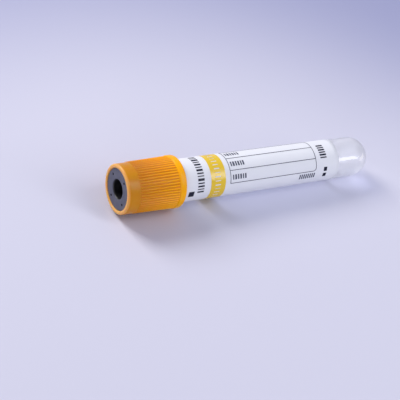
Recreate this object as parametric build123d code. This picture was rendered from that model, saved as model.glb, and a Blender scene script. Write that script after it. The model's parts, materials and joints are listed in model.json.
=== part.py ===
# Blood collection tube: a round-bottomed clear plastic tube with separator gel in its bottom,
# a wrapped label with printed fields, a rubber stopper and a ribbed plastic cap over the stopper.
# It lies on its side, on the skirt of its cap and on its round end.
#
# Sizes are in millimetres. Every piece is made in the tube's own frame first: the axis is X,
# measured from the face of the cap towards the round end, and angles go round the axis from the
# top, towards the side of the label that shows. One move then lays the whole part down.

from build123d import *
import os
from math import acos, atan2, ceil, cos, degrees, hypot, pi, sin, radians

# Tube
tube_length = 83.0              # from the mouth to the tip of the round end
tube_mouth_diameter = 13.0
tube_end_diameter = 12.5
tube_straight_length = 7.2      # ahead of the round end; the rest of the side is drafted
tube_wall = 0.95
tube_rim_round = 0.3
gel_depth = 15.0                # separator gel, from the inner tip to its surface
gel_dish = 0.6                  # how far the middle of the gel's surface lies below its rim
gel_gap = 0.02                  # between the gel and the wall that it wets

# Rubber stopper
stopper_recess = 0.3            # the stopper's face lies this far below the cap's face
stopper_face_round = 0.15
flange_thickness = 4.0
plug_length = 9.5
plug_clearance = 0.03           # radial, in the bore of the tube
plug_end_round = 0.7
well_diameter = 5.8             # the blind hole that the needle goes into
well_depth = 8.0
well_mouth_round = 0.5
cavity_diameter = 6.8           # the hollow under the needle's membrane
cavity_depth = 3.5
dimple_count = 4
dimple_diameter = 0.8
dimple_depth = 1.0
dimple_start_angle = 30.0

# Cap
cap_height = 19.6
cap_lip_thickness = 2.4         # from the cap's face to the step that the stopper's flange meets
cap_rim_width = 1.2             # the ring round the stopper's face
cap_rim_round = 0.55
cap_rim_chamfer = 0.25          # at the inner edge of the ring
cap_wall = 0.63                 # at the smooth band, between the outside and the bore
cap_draft = 0.0147              # growth of the ribbed side's radius for each millimetre of length
closure_play = 0.04             # between the cap and the stopper that turns in it
skirt_clearance = 0.5           # between the cap's bore and the mouth of the tube
snap_clearance = 0.22           # between the snap ring and the side of the tube
snap_length = 1.0
band_length = 4.0               # the smooth band behind the face
crest_height = 0.13             # how far the ribs stand out from the smooth band
groove_depth = 0.26
groove_floor = 0.2              # width of a groove at its floor
groove_flare = 35.0             # slope of a groove's sides and ends
groove_pitch = 0.87             # from one groove to the next, round the cap
groove_inset = 0.6              # from the end of the ribbed stretch to the floor of a groove
skirt_length = 2.4
skirt_height = 0.27             # how far the skirt stands out from the cap's drafted side
skirt_end_round = 0.8
skirt_chamfer = 0.2             # at the inner edge of the skirt's end
step_length = 0.3

# Label, measured along the tube from its edge at the cap, and round it from its upper edge
label_thickness = 0.1
film_gap = 0.02                 # glue under the label, and under each printed field
ink_thickness = 0.03
label_tuck = 0.6                # how far the label's edge lies inside the cap
label_end_gap = 0.4             # from the label's far edge to the straight end of the tube
label_corner_round = 3.0
label_top_angle = -50.0
viewing_strip = 5.2             # width of the clear strip that the label leaves bare

# Printed fields on the label
band_start = 9.6                # coloured band round the label
band_width = 5.1
square_start = 2.1              # solid square beside the cap
square_size = 1.9
square_drop = 15.0
title_start = 5.05              # row of heavy bars round the tube, in the place of a title
title_height = 2.2
title_drop = 2.5
title_bars = (0.5, 0.3, 0.7, 0.35, 0.55, 0.3, 0.6, 0.4, 0.3, 0.75, 0.35, 0.5, 0.3, 0.5)
title_space = 0.52
band_bars_inset = 1.5           # row of unprinted bars in the coloured band
band_bars_height = 1.9
band_bars_drop = 2.4
band_bars = (0.25, 0.35, 0.2, 0.3, 0.3, 0.4, 0.2, 0.35, 0.25, 0.35, 0.2, 0.3, 0.3, 0.2)
band_bars_space = 0.97
form_gap = 1.7                  # ruled form after the coloured band
form_margin = 8.6               # from the form to the label's far edge
form_drop = 1.7
form_row = 4.15
form_rows = 3
form_line = 0.18
form_corner_round = 1.1
caption_inset = 0.85            # small bars at the start of each row
caption_height = 1.5
caption_rise = 1.2
caption_bars = (0.4, 0.6, 0.45, 0.55, 0.4, 0.5)
caption_space = 0.38
volume_gap = 1.75               # six bars beyond the form
volume_height = 2.35
volume_drop = 5.45
volume_bars = (0.55, 0.4, 0.5, 0.4, 0.55, 0.4)
volume_space = 0.4
code_gap = 0.6                  # row of thin bars below the form
code_height = 1.75
code_length = 6.0
code_pitch = 0.75
code_bar = 0.42
seal_drop = 13.2                # two short bars round the tube, below the volume bars
seal_bars = (1.4, 1.4)
seal_space = 0.7
seal_height = 1.2

# Places along the axis
mouth = cap_lip_thickness + closure_play + flange_thickness
tip = mouth + tube_length
end_radius = tube_end_diameter / 2
end_centre = tip - end_radius
straight_start = end_centre - tube_straight_length
label_start = cap_height - label_tuck
label_length = straight_start - label_end_gap - label_start
form_start = band_start + band_width + form_gap
form_length = label_length - form_margin - form_start
form_height = form_rows * form_row

# Radii
mouth_radius = tube_mouth_diameter / 2
cap_bore = mouth_radius + skirt_clearance
cap_face_radius = cap_bore + cap_wall
cap_opening = cap_face_radius - cap_rim_width
stopper_face_radius = cap_opening - closure_play
flange_radius = cap_bore - closure_play
skirt_radius = (
    cap_face_radius + cap_draft * (cap_height - skirt_length - band_length) + skirt_height
)
well_radius = well_diameter / 2
cavity_radius = cavity_diameter / 2
label_mid_radius = (mouth_radius + end_radius) / 2 + film_gap + label_thickness
label_turn = 360 - degrees(viewing_strip / label_mid_radius)


def tube_radius(place):
    """Outer radius of the tube's side at a place along the axis."""
    drafted = min((place - mouth) / (straight_start - mouth), 1)
    return mouth_radius + (end_radius - mouth_radius) * drafted


def bore_radius(place):
    """Inner radius of the tube, which is drafted as far as the round end."""
    drafted = (place - mouth) / (end_centre - mouth)
    return mouth_radius - tube_wall + (end_radius - mouth_radius) * drafted


def cap_radius(place):
    """Radius of the cap's side behind the smooth band, without ribs or skirt."""
    return cap_face_radius + cap_draft * (place - band_length)


def turned(corners):
    """Turn a closed outline of (place, radius, rounding) corners about the axis."""
    points = [(place, radius) for place, radius, rounding in corners]
    roundings = [rounding for place, radius, rounding in corners]
    outline = FilletPolyline(*points, radius=roundings, close=True)
    return revolve(Plane.XZ * make_face(outline), Axis.X)


def round_ended(side):
    """A solid rod with a side of (place, radius) points, which ends in half a ball."""
    start, start_radius = side[0]
    centre, radius = side[-1]
    bend = radians(45)
    ball = ThreePointArc(
        (centre, radius),
        (centre + radius * cos(bend), radius * sin(bend)),
        (centre + radius, 0),
    )
    back = Polyline((centre + radius, 0), (start, 0), (start, start_radius))
    return revolve(Plane.XZ * make_face(Polyline(*side) + ball + back), Axis.X)


def make_tube():
    """The clear tube: an even wall with a rounded rim."""
    side = [(place, tube_radius(place)) for place in (mouth, straight_start, end_centre)]
    bore = [(place, bore_radius(place)) for place in (mouth, end_centre)]
    tube = round_ended(side) - round_ended(bore)
    return fillet(tube.edges().group_by(Axis.X)[0], tube_rim_round)


def make_gel():
    """Separator gel that fills the round end, with a dished surface."""
    surface = tip - tube_wall - gel_depth
    gel = round_ended([(place, bore_radius(place) - gel_gap) for place in (surface, end_centre)])
    rim_radius = bore_radius(surface) - gel_gap
    dish_radius = (rim_radius**2 + gel_dish**2) / (2 * gel_dish)
    return gel - Pos(surface + gel_dish - dish_radius, 0, 0) * Sphere(dish_radius)


def make_stopper():
    """Rubber stopper: collar in the cap's opening, flange on the rim, plug in the bore."""
    face = stopper_recess
    flange_top = cap_lip_thickness + closure_play
    plug_end = mouth + plug_length
    stopper = turned([
        (face + well_depth, 0, 0),
        (face + well_depth, well_radius, 0),
        (face, well_radius, well_mouth_round),
        (face, stopper_face_radius, stopper_face_round),
        (flange_top, stopper_face_radius, 0),
        (flange_top, flange_radius, 0),
        (mouth, flange_radius, 0),
        (mouth, bore_radius(mouth) - plug_clearance, 0),
        (plug_end, bore_radius(plug_end) - plug_clearance, plug_end_round),
        (plug_end, cavity_radius, 0),
        (plug_end - cavity_depth, cavity_radius, 0),
        (plug_end - cavity_depth, 0, 0),
    ])
    circle_radius = (well_radius + well_mouth_round + stopper_face_radius) / 2
    for index in range(dimple_count):
        angle = dimple_start_angle + index * 360 / dimple_count
        dimple = Plane.YZ.offset(face) * Cylinder(
            dimple_diameter / 2, dimple_depth, align=(Align.CENTER, Align.CENTER, Align.MIN)
        )
        stopper -= Rot(X=angle) * Pos(0, 0, circle_radius) * dimple
    return stopper


def groove_cutter(start, end):
    """What cuts one groove between two ribs, at the top of the cap, with sloping sides and ends."""
    middle = (start + end) / 2
    floor = Plane(
        origin=(middle, 0, cap_radius(middle) + crest_height - groove_depth),
        x_dir=(1, 0, cap_draft),
        z_dir=(-cap_draft, 0, 1),
    )
    outline = floor * Rectangle(end - start - 2 * groove_inset, groove_floor)
    return extrude(outline, 2 * groove_depth, taper=-groove_flare)


def make_cap():
    """Plastic cap: lip, seat for the stopper's flange, snap ring below it, ribs and skirt."""
    rib_start = band_length
    rib_end = cap_height - skirt_length
    snap_start = mouth + closure_play
    snap_end = snap_start + snap_length
    snap_radius = mouth_radius + snap_clearance
    cap = turned([
        (cap_rim_chamfer, cap_opening, 0),
        (0, cap_opening + cap_rim_chamfer, 0),
        (0, cap_face_radius, cap_rim_round),
        (rib_start, cap_face_radius, 0),
        (rib_start + step_length, cap_radius(rib_start) + crest_height, 0),
        (rib_end, cap_radius(rib_end) + crest_height, 0),
        (rib_end + step_length, skirt_radius, 0),
        (cap_height, skirt_radius, skirt_end_round),
        (cap_height, cap_bore + skirt_chamfer, 0),
        (cap_height - skirt_chamfer, cap_bore, 0),
        (snap_end + cap_bore - snap_radius, cap_bore, 0),
        (snap_end, snap_radius, 0),
        (snap_start, snap_radius, 0),
        (snap_start, cap_bore, 0),
        (cap_lip_thickness, cap_bore, 0),
        (cap_lip_thickness, cap_opening, 0),
    ])
    groove_count = round(2 * pi * cap_radius(rib_end) / groove_pitch)
    cutter = groove_cutter(rib_start + step_length, rib_end)
    return cap - [Rot(X=index * 360 / groove_count) * cutter for index in range(groove_count)]


def wrapped(start, length, drop, height, lift, thickness):
    """A film patch on the tube: start and length along the label, drop and height round it."""
    first = label_start + start
    last = first + length
    low = film_gap + lift
    outline = Polyline(
        (first, tube_radius(first) + low),
        (last, tube_radius(last) + low),
        (last, tube_radius(last) + low + thickness),
        (first, tube_radius(first) + low + thickness),
        close=True,
    )
    patch = revolve(Plane.XZ * make_face(outline), Axis.X, degrees(height / label_mid_radius))
    return Rot(X=label_top_angle + degrees(drop / label_mid_radius)) * patch


def printed(start, length, drop, height):
    """A printed field on the label."""
    return wrapped(start, length, drop, height, label_thickness + film_gap, ink_thickness)


def corner_cutter(start, drop, radius, along, around):
    """What rounds off a corner of a film patch. along and around point into the patch."""
    depth = end_radius
    square = Pos(along * radius / 2, -around * radius / 2) * Rectangle(radius, radius)
    waste = square - Pos(along * radius, -around * radius) * Circle(radius)
    angle = label_top_angle + degrees(drop / label_mid_radius)
    return Rot(X=angle) * Pos(label_start + start, 0, depth / 2) * extrude(waste, depth)


def make_label():
    """White film round the tube, with rounded corners and a clear strip left bare."""
    height = radians(label_turn) * label_mid_radius
    label = wrapped(0, label_length, 0, height, 0, label_thickness)
    corners = [
        corner_cutter(start, drop, label_corner_round, along, around)
        for start, along in ((0, 1), (label_length, -1))
        for drop, around in ((0, 1), (height, -1))
    ]
    return label - corners


def bar_row(widths, space, drop):
    """Drops and widths of a row of bars with even spaces between them."""
    bars = []
    for width in widths:
        bars.append((drop, width))
        drop += width + space
    return bars


def make_band_print():
    """Coloured band round the whole label, with bars of bare label in it."""
    band = printed(band_start, band_width, 0, radians(label_turn) * label_mid_radius)
    bars_start = band_start + band_bars_inset
    for drop, width in bar_row(band_bars, band_bars_space, band_bars_drop):
        band -= printed(bars_start, band_bars_height, drop, width)
    return band


def make_bold_print():
    """Heavy black print: a square, a title row and the volume bars."""
    bars = [printed(square_start, square_size, square_drop, square_size)]
    for drop, width in bar_row(title_bars, title_space, title_drop):
        bars.append(printed(title_start, title_height, drop, width))
    volume_start = form_start + form_length + volume_gap
    for drop, width in bar_row(volume_bars, volume_space, volume_drop):
        bars.append(printed(volume_start, volume_height, drop, width))
    for drop, width in bar_row(seal_bars, seal_space, seal_drop):
        bars.append(printed(volume_start + volume_height - seal_height, seal_height, drop, width))
    return Compound(children=bars)


def form_field(inset):
    """The form's area less an inset all round, with both far corners rounded."""
    start = form_start + inset
    length = form_length - 2 * inset
    drop = form_drop + inset
    height = form_height - 2 * inset
    corners = [
        corner_cutter(start + length, place, form_corner_round - inset, -1, around)
        for place, around in ((drop, 1), (drop + height, -1))
    ]
    return printed(start, length, drop, height) - corners


def make_form_print():
    """Ruled form: a frame with a line below each row but the last."""
    form = form_field(0) - form_field(form_line)
    for row in range(1, form_rows):
        form += printed(form_start + form_line / 2, form_length - form_line,
                        form_drop + row * form_row, form_line)
    return form


def make_small_print():
    """Small print: captions in the form, and a row of thin bars below it."""
    bars = []
    for row in range(form_rows):
        drop = form_drop + (row + 1) * form_row - caption_rise - caption_height
        for start, width in bar_row(caption_bars, caption_space, form_start + caption_inset):
            bars.append(printed(start, width, drop, caption_height))
    code_start = form_start + form_length - code_length
    code_drop = form_drop + form_height + code_gap
    for index in range(ceil(code_length / code_pitch)):
        start = code_start + index * code_pitch
        bars.append(printed(start, code_bar, code_drop, code_height))
    return Compound(children=bars)


def rest_tilt():
    """Angle of the axis when the skirt's rounded edge and the round end lie on one plane."""
    rise = skirt_radius - skirt_end_round
    run = end_centre - (cap_height - skirt_end_round)
    return degrees(acos((end_radius - skirt_end_round) / hypot(rise, run)) - atan2(run, rise))


def main():
    pieces = {
        "tube": make_tube(),
        "separator_gel": make_gel(),
        "stopper": make_stopper(),
        "cap": make_cap(),
        "label": make_label(),
        "band_print": make_band_print(),
        "bold_print": make_bold_print(),
        "form_print": make_form_print(),
        "small_print": make_small_print(),
    }
    laid = {name: Rot(Y=rest_tilt()) * piece for name, piece in pieces.items()}
    box = Compound(children=[Compound(piece.solids()) for piece in laid.values()]).bounding_box()
    middle = box.center()
    os.makedirs("parts", exist_ok=True)
    for name, piece in laid.items():
        export_step(Pos(-middle.X, -middle.Y, -box.min.Z) * piece, f"parts/{name}.step")


main()
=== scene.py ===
# Blood collection tube on a pale floor: clear tube with separator gel, wrapped label with
# printed fields, rubber stopper with a needle well, ribbed amber cap.
# Lengths in the dictionaries are millimetres and angles are degrees, unless a note says otherwise.
import bpy
import bmesh
import json
import math
from mathutils import Matrix, Vector


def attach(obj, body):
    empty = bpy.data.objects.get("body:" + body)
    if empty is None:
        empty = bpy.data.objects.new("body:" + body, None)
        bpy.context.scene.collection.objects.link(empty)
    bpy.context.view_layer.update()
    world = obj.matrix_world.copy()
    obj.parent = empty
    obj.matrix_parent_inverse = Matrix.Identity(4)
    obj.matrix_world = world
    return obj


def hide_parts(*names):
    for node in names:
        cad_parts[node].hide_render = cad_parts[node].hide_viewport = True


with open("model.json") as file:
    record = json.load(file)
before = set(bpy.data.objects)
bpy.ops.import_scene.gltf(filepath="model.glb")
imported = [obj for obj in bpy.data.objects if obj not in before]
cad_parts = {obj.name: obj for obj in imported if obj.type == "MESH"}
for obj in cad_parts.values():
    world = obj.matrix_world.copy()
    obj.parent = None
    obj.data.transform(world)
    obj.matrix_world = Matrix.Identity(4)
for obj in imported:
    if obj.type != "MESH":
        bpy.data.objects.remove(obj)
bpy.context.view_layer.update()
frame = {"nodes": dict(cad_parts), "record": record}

mm = 0.001
scene = bpy.context.scene
print("frame loaded:", sorted(frame["nodes"]))


# X runs along the tube from the face of the cap, and Z points at the top of the tube as it lies.
mounts = {mount["name"]: mount for mount in frame["record"]["mounts"]}
along = -Vector(mounts["needle_well"]["axis"]).normalized()
wellMiddle = 4.55 * mm  # from the cap's face to the middle of the needle well
faceCentre = Vector(mounts["needle_well"]["pos_m"]) - along * wellMiddle
across = Vector((0, 1, 0))
tubeFrame = Matrix.Translation(faceCentre) @ Matrix(
    (along, across, along.cross(across))).transposed().to_4x4()


def onTube(place, angle, radius):
    # a point beside the axis, in metres: angle 0 is the top and 90 is the label's front
    turn = math.radians(angle)
    return Vector((place, -radius * math.sin(turn), radius * math.cos(turn))) * mm


def smoothStep(low, high, value):
    t = min(max((value - low) / (high - low), 0), 1)
    return t * t * (3 - 2 * t)


def arc(centre, radius, start, end, steps):
    # points of a fillet in an outline of (place, radius) pairs
    points = []
    for i in range(steps + 1):
        angle = math.radians(start + (end - start) * i / steps)
        points.append((centre[0] + radius * math.cos(angle), centre[1] + radius * math.sin(angle)))
    return points


def addPiece(name, bm, body, nodes):
    # puts a finished mesh on its body, in place of the CAD nodes that it stands for
    bmesh.ops.recalc_face_normals(bm, faces=bm.faces)
    bm.transform(tubeFrame)
    mesh = bpy.data.meshes.new(name)
    bm.to_mesh(mesh)
    bm.free()
    mesh.shade_smooth()
    piece = bpy.data.objects.new(name, mesh)
    scene.collection.objects.link(piece)
    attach(piece, body)
    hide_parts(*nodes)
    return piece


def spin(outline, segments, closed=True, radiusAt=None):
    # turns an outline of (place, radius) pairs round the axis; radiusAt may shape it by angle
    bm = bmesh.new()
    rings = []
    for place, radius in outline:
        if radius < 1e-6:  # on the axis
            rings.append([bm.verts.new(onTube(place, 0, 0))])
            continue
        ring = []
        for i in range(segments):
            angle = 360 * i / segments
            shaped = radiusAt(place, angle, radius) if radiusAt else radius
            ring.append(bm.verts.new(onTube(place, angle, shaped)))
        rings.append(ring)
    pairs = list(zip(rings, rings[1:]))
    if closed:
        pairs.append((rings[-1], rings[0]))
    for a, b in pairs:
        for i in range(segments):
            j = (i + 1) % segments
            corners = [a[i % len(a)], a[j % len(a)], b[j % len(b)], b[i % len(b)]]
            corners = list(dict.fromkeys(corners))
            if len(corners) > 2:
                bm.faces.new(corners)
    return bm


def newGroup(name, inputs, outputs):
    group = bpy.data.node_groups.new(name, "ShaderNodeTree")
    for label, kind, value in inputs:
        socket = group.interface.new_socket(name=label, in_out="INPUT", socket_type=kind)
        socket.default_value = value
    for label, kind in outputs:
        group.interface.new_socket(name=label, in_out="OUTPUT", socket_type=kind)
    start = group.nodes.new("NodeGroupInput")
    end = group.nodes.new("NodeGroupOutput")
    start.location, end.location = (-900, 0), (700, 0)
    return group, start, end


def addNode(tree, kind, where, **settings):
    node = tree.nodes.new(kind)
    node.location = where
    for key, value in settings.items():
        setattr(node, key, value)
    return node


def setInput(node, values):
    for key, value in values.items():
        node.inputs[key].default_value = value


def makeGrainGroup():
    # fine moulded or calendered grain: a height for bump and a mask for colour
    group, start, end = newGroup("surfaceGrain", [
        ("Fine Scale", "NodeSocketFloat", 3000.0), ("Broad Scale", "NodeSocketFloat", 250.0),
        ("Broad Share", "NodeSocketFloat", 0.4)], [
        ("Height", "NodeSocketFloat"), ("Broad", "NodeSocketFloat")])
    coords = addNode(group, "ShaderNodeTexCoord", (-900, 250))
    fine = addNode(group, "ShaderNodeTexNoise", (-600, 250))
    setInput(fine, {"Detail": 3.0, "Roughness": 0.6})
    broad = addNode(group, "ShaderNodeTexNoise", (-600, -50))
    setInput(broad, {"Detail": 2.0, "Roughness": 0.5})
    mix = addNode(group, "ShaderNodeMix", (-200, 150), data_type="FLOAT")
    link = group.links.new
    link(coords.outputs["Object"], fine.inputs["Vector"])
    link(coords.outputs["Object"], broad.inputs["Vector"])
    link(start.outputs["Fine Scale"], fine.inputs["Scale"])
    link(start.outputs["Broad Scale"], broad.inputs["Scale"])
    link(start.outputs["Broad Share"], mix.inputs["Factor"])
    link(fine.outputs["Fac"], mix.inputs["A"])
    link(broad.outputs["Fac"], mix.inputs["B"])
    link(mix.outputs["Result"], end.inputs["Height"])
    link(broad.outputs["Fac"], end.inputs["Broad"])
    return group


def makeHandlingGroup():
    # faint smears and rubbed spots from handling, stretched along the tube
    group, start, end = newGroup("handlingMarks", [
        ("Scale", "NodeSocketFloat", 120.0), ("Roughness Low", "NodeSocketFloat", 0.2),
        ("Roughness High", "NodeSocketFloat", 0.3)], [
        ("Roughness", "NodeSocketFloat")])
    coords = addNode(group, "ShaderNodeTexCoord", (-900, 250))
    stretch = addNode(group, "ShaderNodeMapping", (-700, 250))
    setInput(stretch, {"Scale": (0.35, 1.0, 1.0)})
    noise = addNode(group, "ShaderNodeTexNoise", (-450, 250))
    setInput(noise, {"Detail": 5.0, "Roughness": 0.55, "Distortion": 0.4})
    spread = addNode(group, "ShaderNodeMapRange", (-200, 250))
    setInput(spread, {"From Min": 0.35, "From Max": 0.7})
    span = addNode(group, "ShaderNodeMix", (100, 100), data_type="FLOAT")
    link = group.links.new
    link(coords.outputs["Object"], stretch.inputs["Vector"])
    link(stretch.outputs["Vector"], noise.inputs["Vector"])
    link(start.outputs["Scale"], noise.inputs["Scale"])
    link(noise.outputs["Fac"], spread.inputs["Value"])
    link(spread.outputs["Result"], span.inputs["Factor"])
    link(start.outputs["Roughness Low"], span.inputs["A"])
    link(start.outputs["Roughness High"], span.inputs["B"])
    link(span.outputs["Result"], end.inputs["Roughness"])
    return group


def makePlaceGroup():
    # where a point lies on the tube: its place along the axis and its radius, in millimetres
    group, start, end = newGroup("placeOnTube", [], [
        ("Place", "NodeSocketFloat"), ("Radius", "NodeSocketFloat")])
    coords = addNode(group, "ShaderNodeTexCoord", (-900, 250))
    fromFace = addNode(group, "ShaderNodeVectorMath", (-700, 250), operation="SUBTRACT")
    fromFace.inputs[1].default_value = faceCentre
    onAxis = addNode(group, "ShaderNodeVectorMath", (-450, 250), operation="DOT_PRODUCT")
    onAxis.inputs[1].default_value = along
    offAxis = addNode(group, "ShaderNodeVectorMath", (-450, 50), operation="CROSS_PRODUCT")
    offAxis.inputs[1].default_value = along
    length = addNode(group, "ShaderNodeVectorMath", (-200, 50), operation="LENGTH")
    place = addNode(group, "ShaderNodeMath", (0, 250), operation="DIVIDE")
    place.inputs[1].default_value = mm
    radius = addNode(group, "ShaderNodeMath", (0, 50), operation="DIVIDE")
    radius.inputs[1].default_value = mm
    link = group.links.new
    link(coords.outputs["Object"], fromFace.inputs[0])
    link(fromFace.outputs["Vector"], onAxis.inputs[0])
    link(fromFace.outputs["Vector"], offAxis.inputs[0])
    link(offAxis.outputs["Vector"], length.inputs[0])
    link(onAxis.outputs["Value"], place.inputs[0])
    link(length.outputs["Value"], radius.inputs[0])
    link(place.outputs["Value"], end.inputs["Place"])
    link(radius.outputs["Value"], end.inputs["Radius"])
    return group


grainGroup = makeGrainGroup()
placeGroup = makePlaceGroup()
handlingGroup = makeHandlingGroup()
print("shared effects ready")


def newMaterial(name):
    material = bpy.data.materials.new(name)
    material.use_nodes = True
    shader = material.node_tree.nodes["Principled BSDF"]
    shader.location = (300, 0)
    material.node_tree.nodes["Material Output"].location = (650, 0)
    return material, material.node_tree, shader


def addGroup(tree, group, where, values):
    node = addNode(tree, "ShaderNodeGroup", where, node_tree=group)
    setInput(node, values)
    return node


def addMask(tree, value, where, fromMin, fromMax, low=0.0, high=1.0, kind="LINEAR"):
    mask = addNode(tree, "ShaderNodeMapRange", where, interpolation_type=kind)
    setInput(mask, {"From Min": fromMin, "From Max": fromMax, "To Min": low, "To Max": high})
    tree.links.new(value, mask.inputs["Value"])
    return mask.outputs["Result"]


def addTint(tree, colour, factor, where, tint):
    # colour is a plain colour or a socket, and tint takes its place where factor is 1
    mix = addNode(tree, "ShaderNodeMix", where, data_type="RGBA")
    mix.inputs["B"].default_value = (*tint, 1)
    tree.links.new(factor, mix.inputs["Factor"])
    if isinstance(colour, tuple):
        mix.inputs["A"].default_value = (*colour, 1)
    else:
        tree.links.new(colour, mix.inputs["A"])
    return mix.outputs["Result"]


def finishSurface(tree, shader, values):
    # grain, handling marks and a slightly uneven colour, on everything but the clear tube
    grain = addGroup(tree, grainGroup, (-700, -250), values["grain"])
    marks = addGroup(tree, handlingGroup, (-700, 0), values["marks"])
    colour = addTint(tree, values["colour"], grain.outputs["Broad"], (-300, 200),
                     values["unevenColour"])
    bump = addNode(tree, "ShaderNodeBump", (0, -300))
    setInput(bump, {"Strength": values["bump"], "Distance": values["bumpHeight"] * mm})
    link = tree.links.new
    link(colour, shader.inputs["Base Color"])
    link(marks.outputs["Roughness"], shader.inputs["Roughness"])
    link(grain.outputs["Height"], bump.inputs["Height"])
    link(bump.outputs["Normal"], shader.inputs["Normal"])
    return colour


capLook = {
    "ribs": 57, "stepsPerRib": 12,
    "height": 19.6, "faceRadius": 7.63, "opening": 6.43, "bore": 7.0, "lip": 2.4,
    "rimRound": 0.55, "rimSteps": 8, "innerRound": 0.3, "innerSteps": 4,
    "bandEnd": 4.0, "ribEnd": 17.35, "draft": 0.0147,
    "crest": 0.124, "crown": 0.1, "grooveFloor": -0.13, "sinkLength": 0.5,
    "ribFlat": 0.1, "ribFoot": 0.32,  # half the width of a rib at its crest and at its foot
    "skirtStart": 17.2, "skirtRise": 0.262, "skirtRound": 0.8, "skirtSteps": 9,
    "mouthEase": 0.2, "seatEase": 0.15,  # the eased edges of the bore
    "snapStart": 6.48, "snapEnd": 7.48, "snapRadius": 6.72,
    # rings of points: on the band, past its end, before the ribs' end and in the bore
    "bandRings": (1.4, 2.6, 3.7),
    "ribRings": (0.0, 0.06, 0.12, 0.18, 0.25, 0.33, 0.42, 0.55, 0.8, 3.5, 6.5, 9.5),
    "lastRibRings": (0.8, 0.55, 0.42, 0.33, 0.25),
    "boreRing": 13.0,
    # the step up to the skirt: how far past its start, and how far above the ribs or below the skirt
    "skirtFoot": ((0.0, 0.0), (0.06, 0.05), (0.14, 0.14)),
    "skirtShoulder": ((0.24, 0.06), (0.36, 0.015), (0.55, 0.0)),
}
capFinish = {
    "colour": (1.0, 0.435, 0.001), "unevenColour": (0.99, 0.405, 0.001),
    "ior": 1.5, "specular": 0.16,
    "translucency": 0.5, "scatterDepth": 1.5, "scatterColour": (1.0, 0.4, 0.05),
    "grain": {"Fine Scale": 4200.0, "Broad Scale": 160.0, "Broad Share": 0.3},
    "marks": {"Scale": 260.0, "Roughness Low": 0.2, "Roughness High": 0.28},
    "bump": 0.25, "bumpHeight": 0.02,
    # a darker tint of the amber, full at the face end and gone by the skirt
    "darkNearFace": (0.56, 0.225, 0.008), "darkNearFaceFrom": 4.0, "darkNearFaceTo": 16.5,
    # painted highlight: the thin rim by the face is painted paler
    "rimHighlightColour": (0.98, 0.60, 0.24), "rimHighlightFrom": 0.1, "rimHighlightTo": 0.8, "rimHighlightShare": 0.42,
    # painted shade in the grooves between the ribs: its colour, its strength and where it stops
    "grooveShadeColour": (0.60, 0.175, 0.002), "grooveShadeShare": 0.68, "grooveShadeTop": 0.1, "outsideFrom": 7.3,
}


def capBase(place):
    # the drafted wall that the ribs stand on
    return capLook["faceRadius"] + capLook["draft"] * max(place - capLook["bandEnd"], 0)


def ribRadius(place, angle, radius):
    # raises the ribs and sinks the grooves on the outside between the band and the skirt
    look = capLook
    near = 0.01  # so that rings just on an end count
    if place <= look["bandEnd"] - near or place >= look["ribEnd"] + near:
        return radius
    if radius < look["faceRadius"] - near:
        return radius
    pitch = 360 / look["ribs"]
    aside = abs((angle / pitch + 0.5) % 1 - 0.5) * math.radians(pitch) * radius
    foot = look["ribFoot"]
    past = max(look["bandEnd"] + foot - place, place - look["ribEnd"] + foot, 0)
    height = 1 - smoothStep(look["ribFlat"], foot, math.hypot(aside, past))
    height -= look["crown"] * min(aside / foot, 1) ** 2 * height
    sink = smoothStep(look["bandEnd"], look["bandEnd"] + look["sinkLength"], place)
    base = capBase(place) + look["grooveFloor"] * sink
    ribbed = base + (capBase(place) + look["crest"] - base) * height
    risesToSkirt = radius > capBase(place) + 2 * near
    return max(radius, ribbed) if risesToSkirt else ribbed


def makeCap():
    look = capLook
    rim, inner = look["rimRound"], look["innerRound"]
    face, opening, bore = look["faceRadius"], look["opening"], look["bore"]
    start, foot = look["skirtStart"], look["skirtRound"]
    skirt = capBase(start) + look["skirtRise"]
    end, ease = look["height"], look["mouthEase"]
    outline = [(look["lip"], opening)]
    outline += arc((inner, opening + inner), inner, 270, 180, look["innerSteps"])
    outline += arc((rim, face - rim), rim, 180, 90, look["rimSteps"])
    outline += [(place, face) for place in look["bandRings"]]
    outline += [(look["bandEnd"] + past, capBase(look["bandEnd"] + past)) for past in look["ribRings"]]
    outline += [(look["ribEnd"] - left, capBase(look["ribEnd"] - left)) for left in look["lastRibRings"]]
    outline += [(start + past, capBase(start) + rise) for past, rise in look["skirtFoot"]]
    outline += [(start + past, skirt - drop) for past, drop in look["skirtShoulder"]]
    outline += arc((end - foot, skirt - foot), foot, 90, 0, look["skirtSteps"])
    outline += [(end, bore + ease), (end - 0.3 * ease, bore + 0.3 * ease), (end - ease, bore)]
    outline += [(look["boreRing"], bore), (look["snapEnd"] + bore - look["snapRadius"], bore)]
    outline += [(look["snapEnd"], look["snapRadius"]), (look["snapStart"], look["snapRadius"])]
    outline += [(look["snapStart"], bore), (look["lip"] + look["seatEase"], bore)]
    outline += [(look["lip"], bore - look["seatEase"])]
    return spin(outline, look["ribs"] * look["stepsPerRib"], radiusAt=ribRadius)


def storeGrooveShade(piece):
    # stores how deep each point lies between the ribs, as the share of painted shade in the grooves
    grooveShades = piece.data.attributes.new("paintedGrooveShade", "FLOAT", "POINT")
    toTube = tubeFrame.inverted()
    for vertex, depth in zip(piece.data.vertices, grooveShades.data):
        spot = toTube @ vertex.co / mm
        place, radius = spot.x, math.hypot(spot.y, spot.z)
        if capLook["bandEnd"] < place < capLook["skirtStart"] and radius > capFinish["outsideFrom"]:
            low, high = capBase(place) + capLook["grooveFloor"], capBase(place) + capFinish["grooveShadeTop"]
            depth.value = capFinish["grooveShadeShare"] * (1 - smoothStep(low, high, radius))


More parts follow.
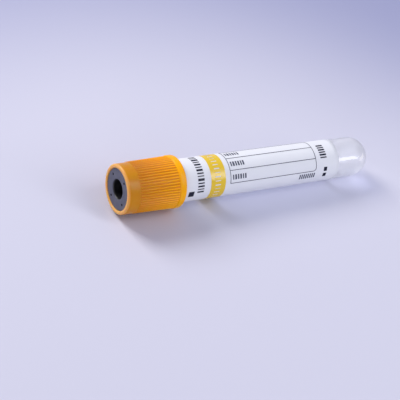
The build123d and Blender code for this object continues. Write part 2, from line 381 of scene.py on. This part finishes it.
def makeCapMaterial():
    finish = capFinish
    material, tree, shader = newMaterial("amberCapPlastic")
    setInput(shader, {"IOR": finish["ior"], "Specular IOR Level": finish["specular"],
                      "Subsurface Weight": finish["translucency"],
                      "Subsurface Scale": finish["scatterDepth"] * mm,
                      "Subsurface Radius": finish["scatterColour"]})
    colour = finishSurface(tree, shader, finish)
    # the amber is tinted darker from the face towards the skirt, and the thin rim by the face gets a
    # painted highlight
    spot = addGroup(tree, placeGroup, (-900, 700), {})
    nearFace = addMask(tree, spot.outputs["Place"], (-600, 700),
                    finish["darkNearFaceFrom"], finish["darkNearFaceTo"], 1.0, 0.0)
    colour = addTint(tree, colour, nearFace, (-200, 500), finish["darkNearFace"])
    # painted highlight on the thin rim by the face
    rim = addMask(tree, spot.outputs["Place"], (-600, 1000),
                  finish["rimHighlightFrom"], finish["rimHighlightTo"], finish["rimHighlightShare"], 0.0)
    colour = addTint(tree, colour, rim, (0, 500), finish["rimHighlightColour"])
    # painted shade: the grooves between the ribs are tinted darker, as if shade falls in them
    depth = addNode(tree, "ShaderNodeAttribute", (-200, 800), attribute_name="paintedGrooveShade")
    colour = addTint(tree, colour, depth.outputs["Fac"], (150, 500), finish["grooveShadeColour"])
    tree.links.new(colour, shader.inputs["Base Color"])
    return material


capPiece = addPiece("ribbedCap", makeCap(), "cap", ["cap"])
storeGrooveShade(capPiece)
capPiece.data.materials.append(makeCapMaterial())
print("cap:", len(capPiece.data.polygons), "faces")


stopperFinish = {
    "colour": (0.056, 0.06, 0.095), "unevenColour": (0.074, 0.078, 0.115),
    "ior": 1.5, "specular": 0.5,
    "grain": {"Fine Scale": 5200.0, "Broad Scale": 400.0, "Broad Share": 0.35},
    "marks": {"Scale": 500.0, "Roughness Low": 0.42, "Roughness High": 0.6},
    "bump": 0.35, "bumpHeight": 0.03,
    # what lies deeper than this below the cap's face, and this near the axis, is dark
    "wellColour": (0.002, 0.002, 0.003), "darkFrom": 0.31, "darkTo": 0.5,
    "darkWithin": 5.4, "paleBeyond": 5.6,
}


def makeStopperMaterial():
    finish = stopperFinish
    material, tree, shader = newMaterial("slateRubber")
    setInput(shader, {"IOR": finish["ior"], "Specular IOR Level": finish["specular"]})
    colour = finishSurface(tree, shader, finish)
    # hardly any light gets down into the needle well and the four dimples
    spot = addGroup(tree, placeGroup, (-900, 700), {})
    deep = addMask(tree, spot.outputs["Place"], (-600, 700),
                   finish["darkFrom"], finish["darkTo"], kind="SMOOTHSTEP")
    inside = addMask(tree, spot.outputs["Radius"], (-600, 1000),
                     finish["darkWithin"], finish["paleBeyond"], 1.0, 0.0)
    both = addNode(tree, "ShaderNodeMath", (-350, 850), operation="MULTIPLY")
    tree.links.new(deep, both.inputs[0])
    tree.links.new(inside, both.inputs[1])
    colour = addTint(tree, colour, both.outputs["Value"], (0, 500), finish["wellColour"])
    tree.links.new(colour, shader.inputs["Base Color"])
    return material


stopperNode = frame["nodes"]["stopper"]
stopperNode.material_slots[0].material = makeStopperMaterial()
print("stopper:", len(stopperNode.data.polygons), "faces")


tubeLook = {
    "segments": 160, "mouth": 6.44, "tip": 89.44, "mouthRadius": 6.5, "endRadius": 6.25,
    "straight": 7.2, "wall": 0.95, "rimRound": 0.3, "rimSteps": 5, "ballSteps": 22,
    # rings of points, before and after the start of the straight end
    "rings": (10, 14, 18, 24, 30, 38, 46, 54, 62, 68), "endRings": (77, 79.5, 81.5),
}
tubeFinish = {
    "colour": (0.96, 0.965, 0.98), "ior": 1.57, "shadowColour": (0.86, 0.87, 0.9),
    "marks": {"Scale": 180.0, "Roughness Low": 0.02, "Roughness High": 0.07},
}
gelLook = {
    "depth": 15.0, "dish": 0.6, "dishSteps": 10, "rings": (81, 78, 75),
    "wetting": 0.015,  # how far the gel reaches into the wall, so no air shows
}
gelFinish = {
    "colour": (0.88, 0.885, 0.915), "unevenColour": (0.85, 0.86, 0.895),
    "clearness": 0.74, "ior": 1.45, "specular": 0.1, "shadowColour": (0.4, 0.41, 0.46),
    "haze": 1.0, "hazeDepth": 6.0, "hazeColour": (1.0, 1.0, 1.0),
    "grain": {"Fine Scale": 900.0, "Broad Scale": 120.0, "Broad Share": 0.6},
    "marks": {"Scale": 200.0, "Roughness Low": 0.3, "Roughness High": 0.4},
    "bump": 0.1, "bumpHeight": 0.05,
}


def tubeOutside(place):
    # the outside tapers from the mouth to the straight end
    look = tubeLook
    straightStart = look["tip"] - look["endRadius"] - look["straight"]
    share = min((place - look["mouth"]) / (straightStart - look["mouth"]), 1)
    return look["mouthRadius"] + (look["endRadius"] - look["mouthRadius"]) * share


def tubeInside(place):
    # the bore tapers all the way to the ball end
    look = tubeLook
    share = (place - look["mouth"]) / (look["tip"] - look["endRadius"] - look["mouth"])
    return look["mouthRadius"] - look["wall"] + (look["endRadius"] - look["mouthRadius"]) * share


def makeTube():
    look = tubeLook
    centre = look["tip"] - look["endRadius"]
    places = (*look["rings"], centre - look["straight"], *look["endRings"])
    ball, inner = look["endRadius"], look["endRadius"] - look["wall"]
    rim, mouth = look["rimRound"], look["mouth"]
    outside = arc((mouth + rim, look["mouthRadius"] - rim), rim, 180, 90, look["rimSteps"])
    outside += [(place, tubeOutside(place)) for place in places]
    outside += arc((centre, 0), ball, 90, 0, look["ballSteps"])[:-1] + [(centre + ball, 0)]
    inside = [(centre + inner, 0)] + arc((centre, 0), inner, 0, 90, look["ballSteps"])[1:]
    inside += [(place, tubeInside(place)) for place in reversed(places)]
    inside += arc((mouth + rim, tubeInside(mouth) + rim), rim, 270, 180, look["rimSteps"])
    bm = spin(outside, look["segments"], closed=False)
    lining = spin(inside, look["segments"], closed=False)
    liningMesh = bpy.data.meshes.new("lining")
    lining.to_mesh(liningMesh)
    lining.free()
    bm.from_mesh(liningMesh)
    bpy.data.meshes.remove(liningMesh)
    rims = [edge for edge in bm.edges if edge.is_boundary]
    bmesh.ops.bridge_loops(bm, edges=rims)
    return bm


def makeGel():
    look = tubeLook
    centre = look["tip"] - look["endRadius"]
    inner = look["endRadius"] - look["wall"] + gelLook["wetting"]
    surface = look["tip"] - look["wall"] - gelLook["depth"]
    rimRadius = tubeInside(surface) + gelLook["wetting"]
    steps = gelLook["dishSteps"]
    outline = [(centre + inner, 0)] + arc((centre, 0), inner, 0, 90, look["ballSteps"])[1:]
    outline += [(place, tubeInside(place) + gelLook["wetting"]) for place in gelLook["rings"]]
    outline += [(surface, rimRadius)]
    for i in range(1, steps + 1):
        radius = rimRadius * (1 - i / steps)
        outline.append((surface + gelLook["dish"] * (1 - (radius / rimRadius) ** 2), radius))
    return spin(outline, look["segments"], closed=False)


def letLampsThrough(tree, shader, colour):
    # light from the lamps passes straight through, tinted, so what is behind is lit
    path = addNode(tree, "ShaderNodeLightPath", (300, 400))
    clear = addNode(tree, "ShaderNodeBsdfTransparent", (300, 150))
    setInput(clear, {"Color": (*colour, 1)})
    either = addNode(tree, "ShaderNodeMixShader", (550, 200))
    link = tree.links.new
    link(path.outputs["Is Shadow Ray"], either.inputs["Fac"])
    link(shader.outputs["BSDF"], either.inputs[1])
    link(clear.outputs["BSDF"], either.inputs[2])
    link(either.outputs["Shader"], tree.nodes["Material Output"].inputs["Surface"])


def makeTubeMaterial():
    material, tree, shader = newMaterial("clearTubePlastic")
    setInput(shader, {"Base Color": (*tubeFinish["colour"], 1), "IOR": tubeFinish["ior"],
                      "Transmission Weight": 1.0, "Metallic": 0.0})
    marks = addGroup(tree, handlingGroup, (-500, 0), tubeFinish["marks"])
    tree.links.new(marks.outputs["Roughness"], shader.inputs["Roughness"])
    letLampsThrough(tree, shader, tubeFinish["shadowColour"])
    return material


def makeGelMaterial():
    finish = gelFinish
    material, tree, shader = newMaterial("hazyGel")
    setInput(shader, {"IOR": finish["ior"], "Specular IOR Level": finish["specular"],
                      "Transmission Weight": finish["clearness"], "Metallic": 0.0,
                      "Subsurface Weight": finish["haze"],
                      "Subsurface Scale": finish["hazeDepth"] * mm,
                      "Subsurface Radius": finish["hazeColour"]})
    finishSurface(tree, shader, finish)
    letLampsThrough(tree, shader, finish["shadowColour"])
    return material


tubePiece = addPiece("clearTube", makeTube(), "tube", ["tube"])
tubePiece.data.materials.append(makeTubeMaterial())
gelPiece = addPiece("gelFill", makeGel(), "tube", ["separator_gel"])
gelPiece.data.materials.append(makeGelMaterial())
print("tube and gel:", len(tubePiece.data.polygons) + len(gelPiece.data.polygons), "faces")


labelLook = {
    "start": 19.0, "length": 56.59, "topAngle": -50.0, "bareStrip": 5.2, "cornerRound": 3.0,
    "thickness": 0.1, "glue": 0.02, "midRadius": 6.495,
    "columns": 40, "rowHeight": 0.4, "cornerSteps": 10,
}
labelFinish = {
    "colour": (0.75, 0.765, 0.81), "unevenColour": (0.73, 0.745, 0.795),
    "ior": 1.5, "specular": 0.35, "shadowColour": (0.80, 0.81, 0.83),
    "grain": {"Fine Scale": 3500.0, "Broad Scale": 90.0, "Broad Share": 0.35},
    "marks": {"Scale": 150.0, "Roughness Low": 0.5, "Roughness High": 0.62},
    "bump": 0.12, "bumpHeight": 0.02,
}
inkFinish = {
    "ior": 1.5,
    "grain": {"Fine Scale": 3500.0, "Broad Scale": 90.0, "Broad Share": 0.35},
    "marks": {"Scale": 220.0, "Roughness Low": 0.2, "Roughness High": 0.28},
    "bump": 0.12, "bumpHeight": 0.02,
}
inks = {
    "band_print": {
        "name": "yellowPrint", "specular": 0.7,
        "colour": (0.76, 0.52, 0.008), "unevenColour": (0.72, 0.48, 0.007)},
    "bold_print": {
        "name": "blackPrint", "specular": 0.12,
        "colour": (0.012, 0.012, 0.03), "unevenColour": (0.022, 0.022, 0.04)},
    "form_print": {
        "name": "greyRuledPrint", "specular": 0.2,
        "colour": (0.03, 0.034, 0.06), "unevenColour": (0.05, 0.055, 0.09)},
    "small_print": {
        "name": "greySmallPrint", "specular": 0.2,
        "colour": (0.055, 0.06, 0.095), "unevenColour": (0.09, 0.095, 0.14)},
}


def rimOf(grid):
    # the outermost points of a grid of points, once round
    return ([row[0] for row in grid] + grid[-1][1:]
            + [row[-1] for row in reversed(grid[:-1])] + grid[0][-2:0:-1])


def makeLabel():
    look = labelLook
    height = 2 * math.pi * look["midRadius"] - look["bareStrip"]
    corner, cornerSteps = look["cornerRound"], look["cornerSteps"]
    fine = [corner * (1 - math.cos(math.radians(90 * i / cornerSteps))) for i in range(cornerSteps + 1)]
    middle = int((height - 2 * corner) / look["rowHeight"])
    drops = fine + [corner + (height - 2 * corner) * i / middle for i in range(1, middle)]
    drops += [height - drop for drop in reversed(fine)]
    bm = bmesh.new()
    layers = []
    for lift in (look["glue"], look["glue"] + look["thickness"]):
        grid = []
        for drop in drops:
            short = corner - min(drop, height - drop, corner)
            cut = corner - math.sqrt(max(corner ** 2 - short ** 2, 0))
            angle = look["topAngle"] + math.degrees(drop / look["midRadius"])
            row = []
            for i in range(look["columns"] + 1):
                place = look["start"] + cut + (look["length"] - 2 * cut) * i / look["columns"]
                row.append(bm.verts.new(onTube(place, angle, tubeOutside(place) + lift)))
            grid.append(row)
        layers.append(grid)
    for grid in layers:
        for a, b in zip(grid, grid[1:]):
            for i in range(look["columns"]):
                bm.faces.new((a[i], a[i + 1], b[i + 1], b[i]))
    low, high = (rimOf(grid) for grid in layers)
    for i in range(len(low)):
        j = (i + 1) % len(low)
        bm.faces.new((low[i], low[j], high[j], high[i]))
    return bm


def makeLabelMaterial():
    material, tree, shader = newMaterial("whiteLabelFilm")
    setInput(shader, {"IOR": labelFinish["ior"], "Specular IOR Level": labelFinish["specular"]})
    finishSurface(tree, shader, labelFinish)
    letLampsThrough(tree, shader, labelFinish["shadowColour"])
    return material


def makeInkMaterial(ink):
    material, tree, shader = newMaterial(ink["name"])
    setInput(shader, {"IOR": inkFinish["ior"], "Specular IOR Level": ink["specular"]})
    finishSurface(tree, shader, {**inkFinish, **ink})
    return material


labelPiece = addPiece("labelFilm", makeLabel(), "tube", ["label"])
labelPiece.data.materials.append(makeLabelMaterial())
for nodeName, ink in inks.items():
    frame["nodes"][nodeName].material_slots[0].material = makeInkMaterial(ink)
print("label:", len(labelPiece.data.polygons), "faces")


floorLook = {
    # the far colour is painted shade: the floor darkens away from the tube, as if the lamps' light fell
    # off
    "colour": (0.58, 0.58, 0.69), "paintedFalloffColour": (0.31, 0.325, 0.50),
    "roughness": 0.45, "ior": 1.45, "sheen": 0.25,
    # metres from here on
    "size": 3.0, "paleCentre": (-0.03, -0.05, 0.0), "paintedFalloffStart": 0.09, "paintedFalloffEnd": 0.2,
    "backdropStart": 0.2, "backdropEnd": 0.45,
}
backdropColour = (0.62, 0.62, 0.75)


def whereSeen(tree, where):
    # 1 where the camera sees a surface itself, in a reflection or through clear plastic, or else 0
    path = addNode(tree, "ShaderNodeLightPath", where)
    seen = path.outputs["Is Camera Ray"]
    for i, kind in enumerate(("Is Glossy Ray", "Is Transmission Ray")):
        spot = (where[0] + 200 * (i + 1), where[1])
        either = addNode(tree, "ShaderNodeMath", spot, operation="MAXIMUM")
        tree.links.new(seen, either.inputs[0])
        tree.links.new(path.outputs[kind], either.inputs[1])
        seen = either.outputs["Value"]
    return seen


def makeFloorMaterial():
    look = floorLook
    material, tree, shader = newMaterial("paleFloor")
    setInput(shader, {"Roughness": look["roughness"], "IOR": look["ior"],
                      "Specular IOR Level": look["sheen"]})
    coords = addNode(tree, "ShaderNodeTexCoord", (-900, 200))
    spread = addNode(tree, "ShaderNodeVectorMath", (-700, 200), operation="DISTANCE")
    spread.inputs[1].default_value = look["paleCentre"]
    # painted shade: the floor is tinted darker away from the tube, standing in for the fall-off of the
    # light
    paintedFalloff = addMask(tree, spread.outputs["Value"], (-450, 200),
                   look["paintedFalloffStart"], look["paintedFalloffEnd"], kind="SMOOTHSTEP")
    colour = addTint(tree, look["colour"], paintedFalloff, (-200, 200), look["paintedFalloffColour"])
    # far from the tube the floor turns into a plain pale backdrop that lights nothing
    far = addMask(tree, spread.outputs["Value"], (-450, 500),
                  look["backdropStart"], look["backdropEnd"], kind="SMOOTHSTEP")
    share = addNode(tree, "ShaderNodeMath", (100, 500), operation="MULTIPLY")
    glow = addNode(tree, "ShaderNodeEmission", (300, 300))
    setInput(glow, {"Color": (*backdropColour, 1)})
    either = addNode(tree, "ShaderNodeMixShader", (550, 200))
    link = tree.links.new
    link(coords.outputs["Object"], spread.inputs[0])
    link(colour, shader.inputs["Base Color"])
    link(far, share.inputs[0])
    link(whereSeen(tree, (-450, 800)), share.inputs[1])
    link(share.outputs["Value"], either.inputs["Fac"])
    link(shader.outputs["BSDF"], either.inputs[1])
    link(glow.outputs["Emission"], either.inputs[2])
    link(either.outputs["Shader"], tree.nodes["Material Output"].inputs["Surface"])
    return material


def addFloor():
    half = floorLook["size"] / 2
    bm = bmesh.new()
    corners = ((-half, -half), (half, -half), (half, half), (-half, half))
    bm.faces.new([bm.verts.new((x, y, 0)) for x, y in corners])
    mesh = bpy.data.meshes.new("paleFloor")
    bm.to_mesh(mesh)
    bm.free()
    mesh.materials.append(makeFloorMaterial())
    floor = bpy.data.objects.new("paleFloor", mesh)
    scene.collection.objects.link(floor)


# where each softbox stands, what it faces and its size, in metres, and its power in watts
lights = {
    "keySoftbox": {
        "stand": (-0.38, 0.60, 0.56), "face": (0, 0, 0), "size": (0.4, 0.4),
        "power": 8.0, "colour": (1.0, 0.97, 0.94)},
    "leftSoftbox": {
        "stand": (-0.60, -0.70, 0.14), "face": (0, 0, 0), "size": (0.5, 0.25),
        "power": 1.7, "colour": (1.0, 0.98, 0.97)},
    "frontSoftbox": {
        "stand": (0.265, -0.335, 0.43), "face": (0, 0, 0), "size": (0.15, 0.62),
        "power": 1.6, "colour": (0.98, 0.99, 1.0)},
    "warmCard": {
        "stand": (0.43, -0.19, 0.05), "face": (0.04, 0, 0.006), "size": (0.26, 0.09),
        "power": 0.22, "colour": (1.0, 0.9, 0.84)},
}


def addLight(name, values):
    lamp = bpy.data.lights.new(name, "AREA")
    lamp.shape = "RECTANGLE"
    lamp.size, lamp.size_y = values["size"]
    lamp.energy = values["power"]
    lamp.color = values["colour"]
    light = bpy.data.objects.new(name, lamp)
    light.location = values["stand"]
    aim = Vector(values["face"]) - Vector(values["stand"])
    light.rotation_euler = aim.to_track_quat("-Z", "Y").to_euler()
    scene.collection.objects.link(light)


worldLook = {"colour": (0.74, 0.775, 1.0), "strength": 0.40}


def makeWorld():
    # a soft even light, and the pale backdrop wherever the world itself is seen
    world = bpy.data.worlds.new("studio")
    world.use_nodes = True
    tree = world.node_tree
    soft = tree.nodes["Background"]
    setInput(soft, {"Color": (*worldLook["colour"], 1), "Strength": worldLook["strength"]})
    pale = addNode(tree, "ShaderNodeBackground", (0, -200))
    setInput(pale, {"Color": (*backdropColour, 1), "Strength": 1.0})
    either = addNode(tree, "ShaderNodeMixShader", (200, 0))
    link = tree.links.new
    link(whereSeen(tree, (-600, 300)), either.inputs["Fac"])
    link(soft.outputs["Background"], either.inputs[1])
    link(pale.outputs["Background"], either.inputs[2])
    link(either.outputs["Shader"], tree.nodes["World Output"].inputs["Surface"])
    scene.world = world


# in the tube's own frame
cameraLook = {
    "stand": (-196.8, -282.9, 274.8), "right": (0.8595, -0.4512, 0.2403),
    "forward": (0.4941, 0.6132, -0.6163), "lens": 135.0, "sensorWidth": 36.0,
    "clipStart": 0.01,  # metres
}


def addCamera():
    look = cameraLook
    camera = bpy.data.cameras.new("camera")
    camera.sensor_width = look["sensorWidth"]
    camera.lens = look["lens"]
    camera.clip_start = look["clipStart"]
    holder = bpy.data.objects.new("camera", camera)
    right = Vector(look["right"]).normalized()
    forward = Vector(look["forward"]).normalized()
    up = right.cross(forward).normalized()
    right = forward.cross(up).normalized()
    pose = Matrix((right, up, -forward)).transposed().to_4x4()
    pose.translation = Vector(look["stand"]) * mm
    holder.matrix_world = tubeFrame @ pose
    scene.collection.objects.link(holder)
    scene.camera = holder


addFloor()
for lightName, values in lights.items():
    addLight(lightName, values)
makeWorld()
addCamera()
scene.view_settings.view_transform = "Standard"
print("stage, lights and camera ready")
